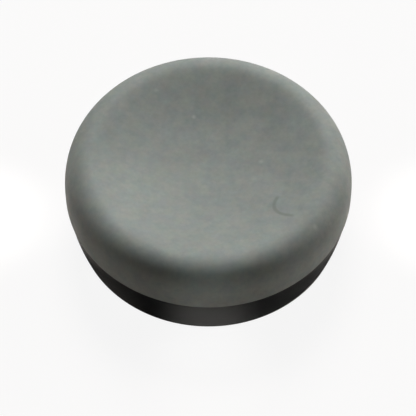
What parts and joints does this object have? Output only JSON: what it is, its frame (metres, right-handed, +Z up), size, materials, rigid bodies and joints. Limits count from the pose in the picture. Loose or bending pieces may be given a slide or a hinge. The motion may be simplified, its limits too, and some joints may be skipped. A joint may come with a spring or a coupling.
{
  "type": "thumbstick cap",
  "caption": "Round soft thumb grip with a dished top, on a tapered base with a square push-fit socket for the post of an analogue stick.",
  "frame": {"origin": "centre of the flat foot ring that the cap stands on", "axes": "+Z up along the turned axis, towards the thumb; the sides of the square socket lie along X and Y"},
  "size_m": [0.017, 0.017, 0.0059],
  "materials": {
    "grey_elastomer": "matt moulded elastomer with a fine even grain",
    "black_plastic": "black moulded plastic with a satin sheen"
  },
  "bodies": {
    "root": {"thumb_grip": "grey_elastomer", "stick_base": "black_plastic"}
  },
  "joints": []
}
